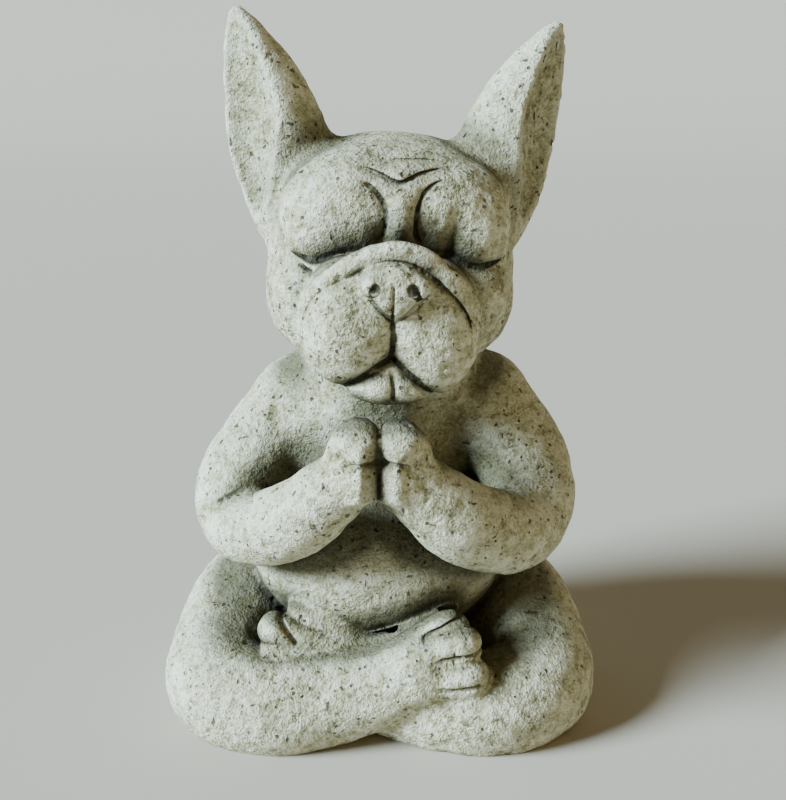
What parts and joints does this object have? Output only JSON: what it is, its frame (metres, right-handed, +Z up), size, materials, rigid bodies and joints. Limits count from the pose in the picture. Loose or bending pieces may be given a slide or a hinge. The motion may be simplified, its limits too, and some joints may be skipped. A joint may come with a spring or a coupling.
{
  "type": "garden statue",
  "caption": "Cast stone garden statue of a bulldog with tall pointed ears, sitting cross-legged with closed eyes and its front paws pressed together.",
  "frame": {"origin": "middle of the footprint at ground level", "axes": "+Z up through the ear tips, -Y out of the face, +X to the viewer's right when facing the statue"},
  "size_m": [0.1791, 0.1447, 0.2803],
  "materials": {
    "cast_stone": "weathered cast stone, matt, pitted, grey-green with darker dirt in the hollows"
  },
  "bodies": {
    "root": {"statue": "cast_stone"}
  },
  "joints": []
}
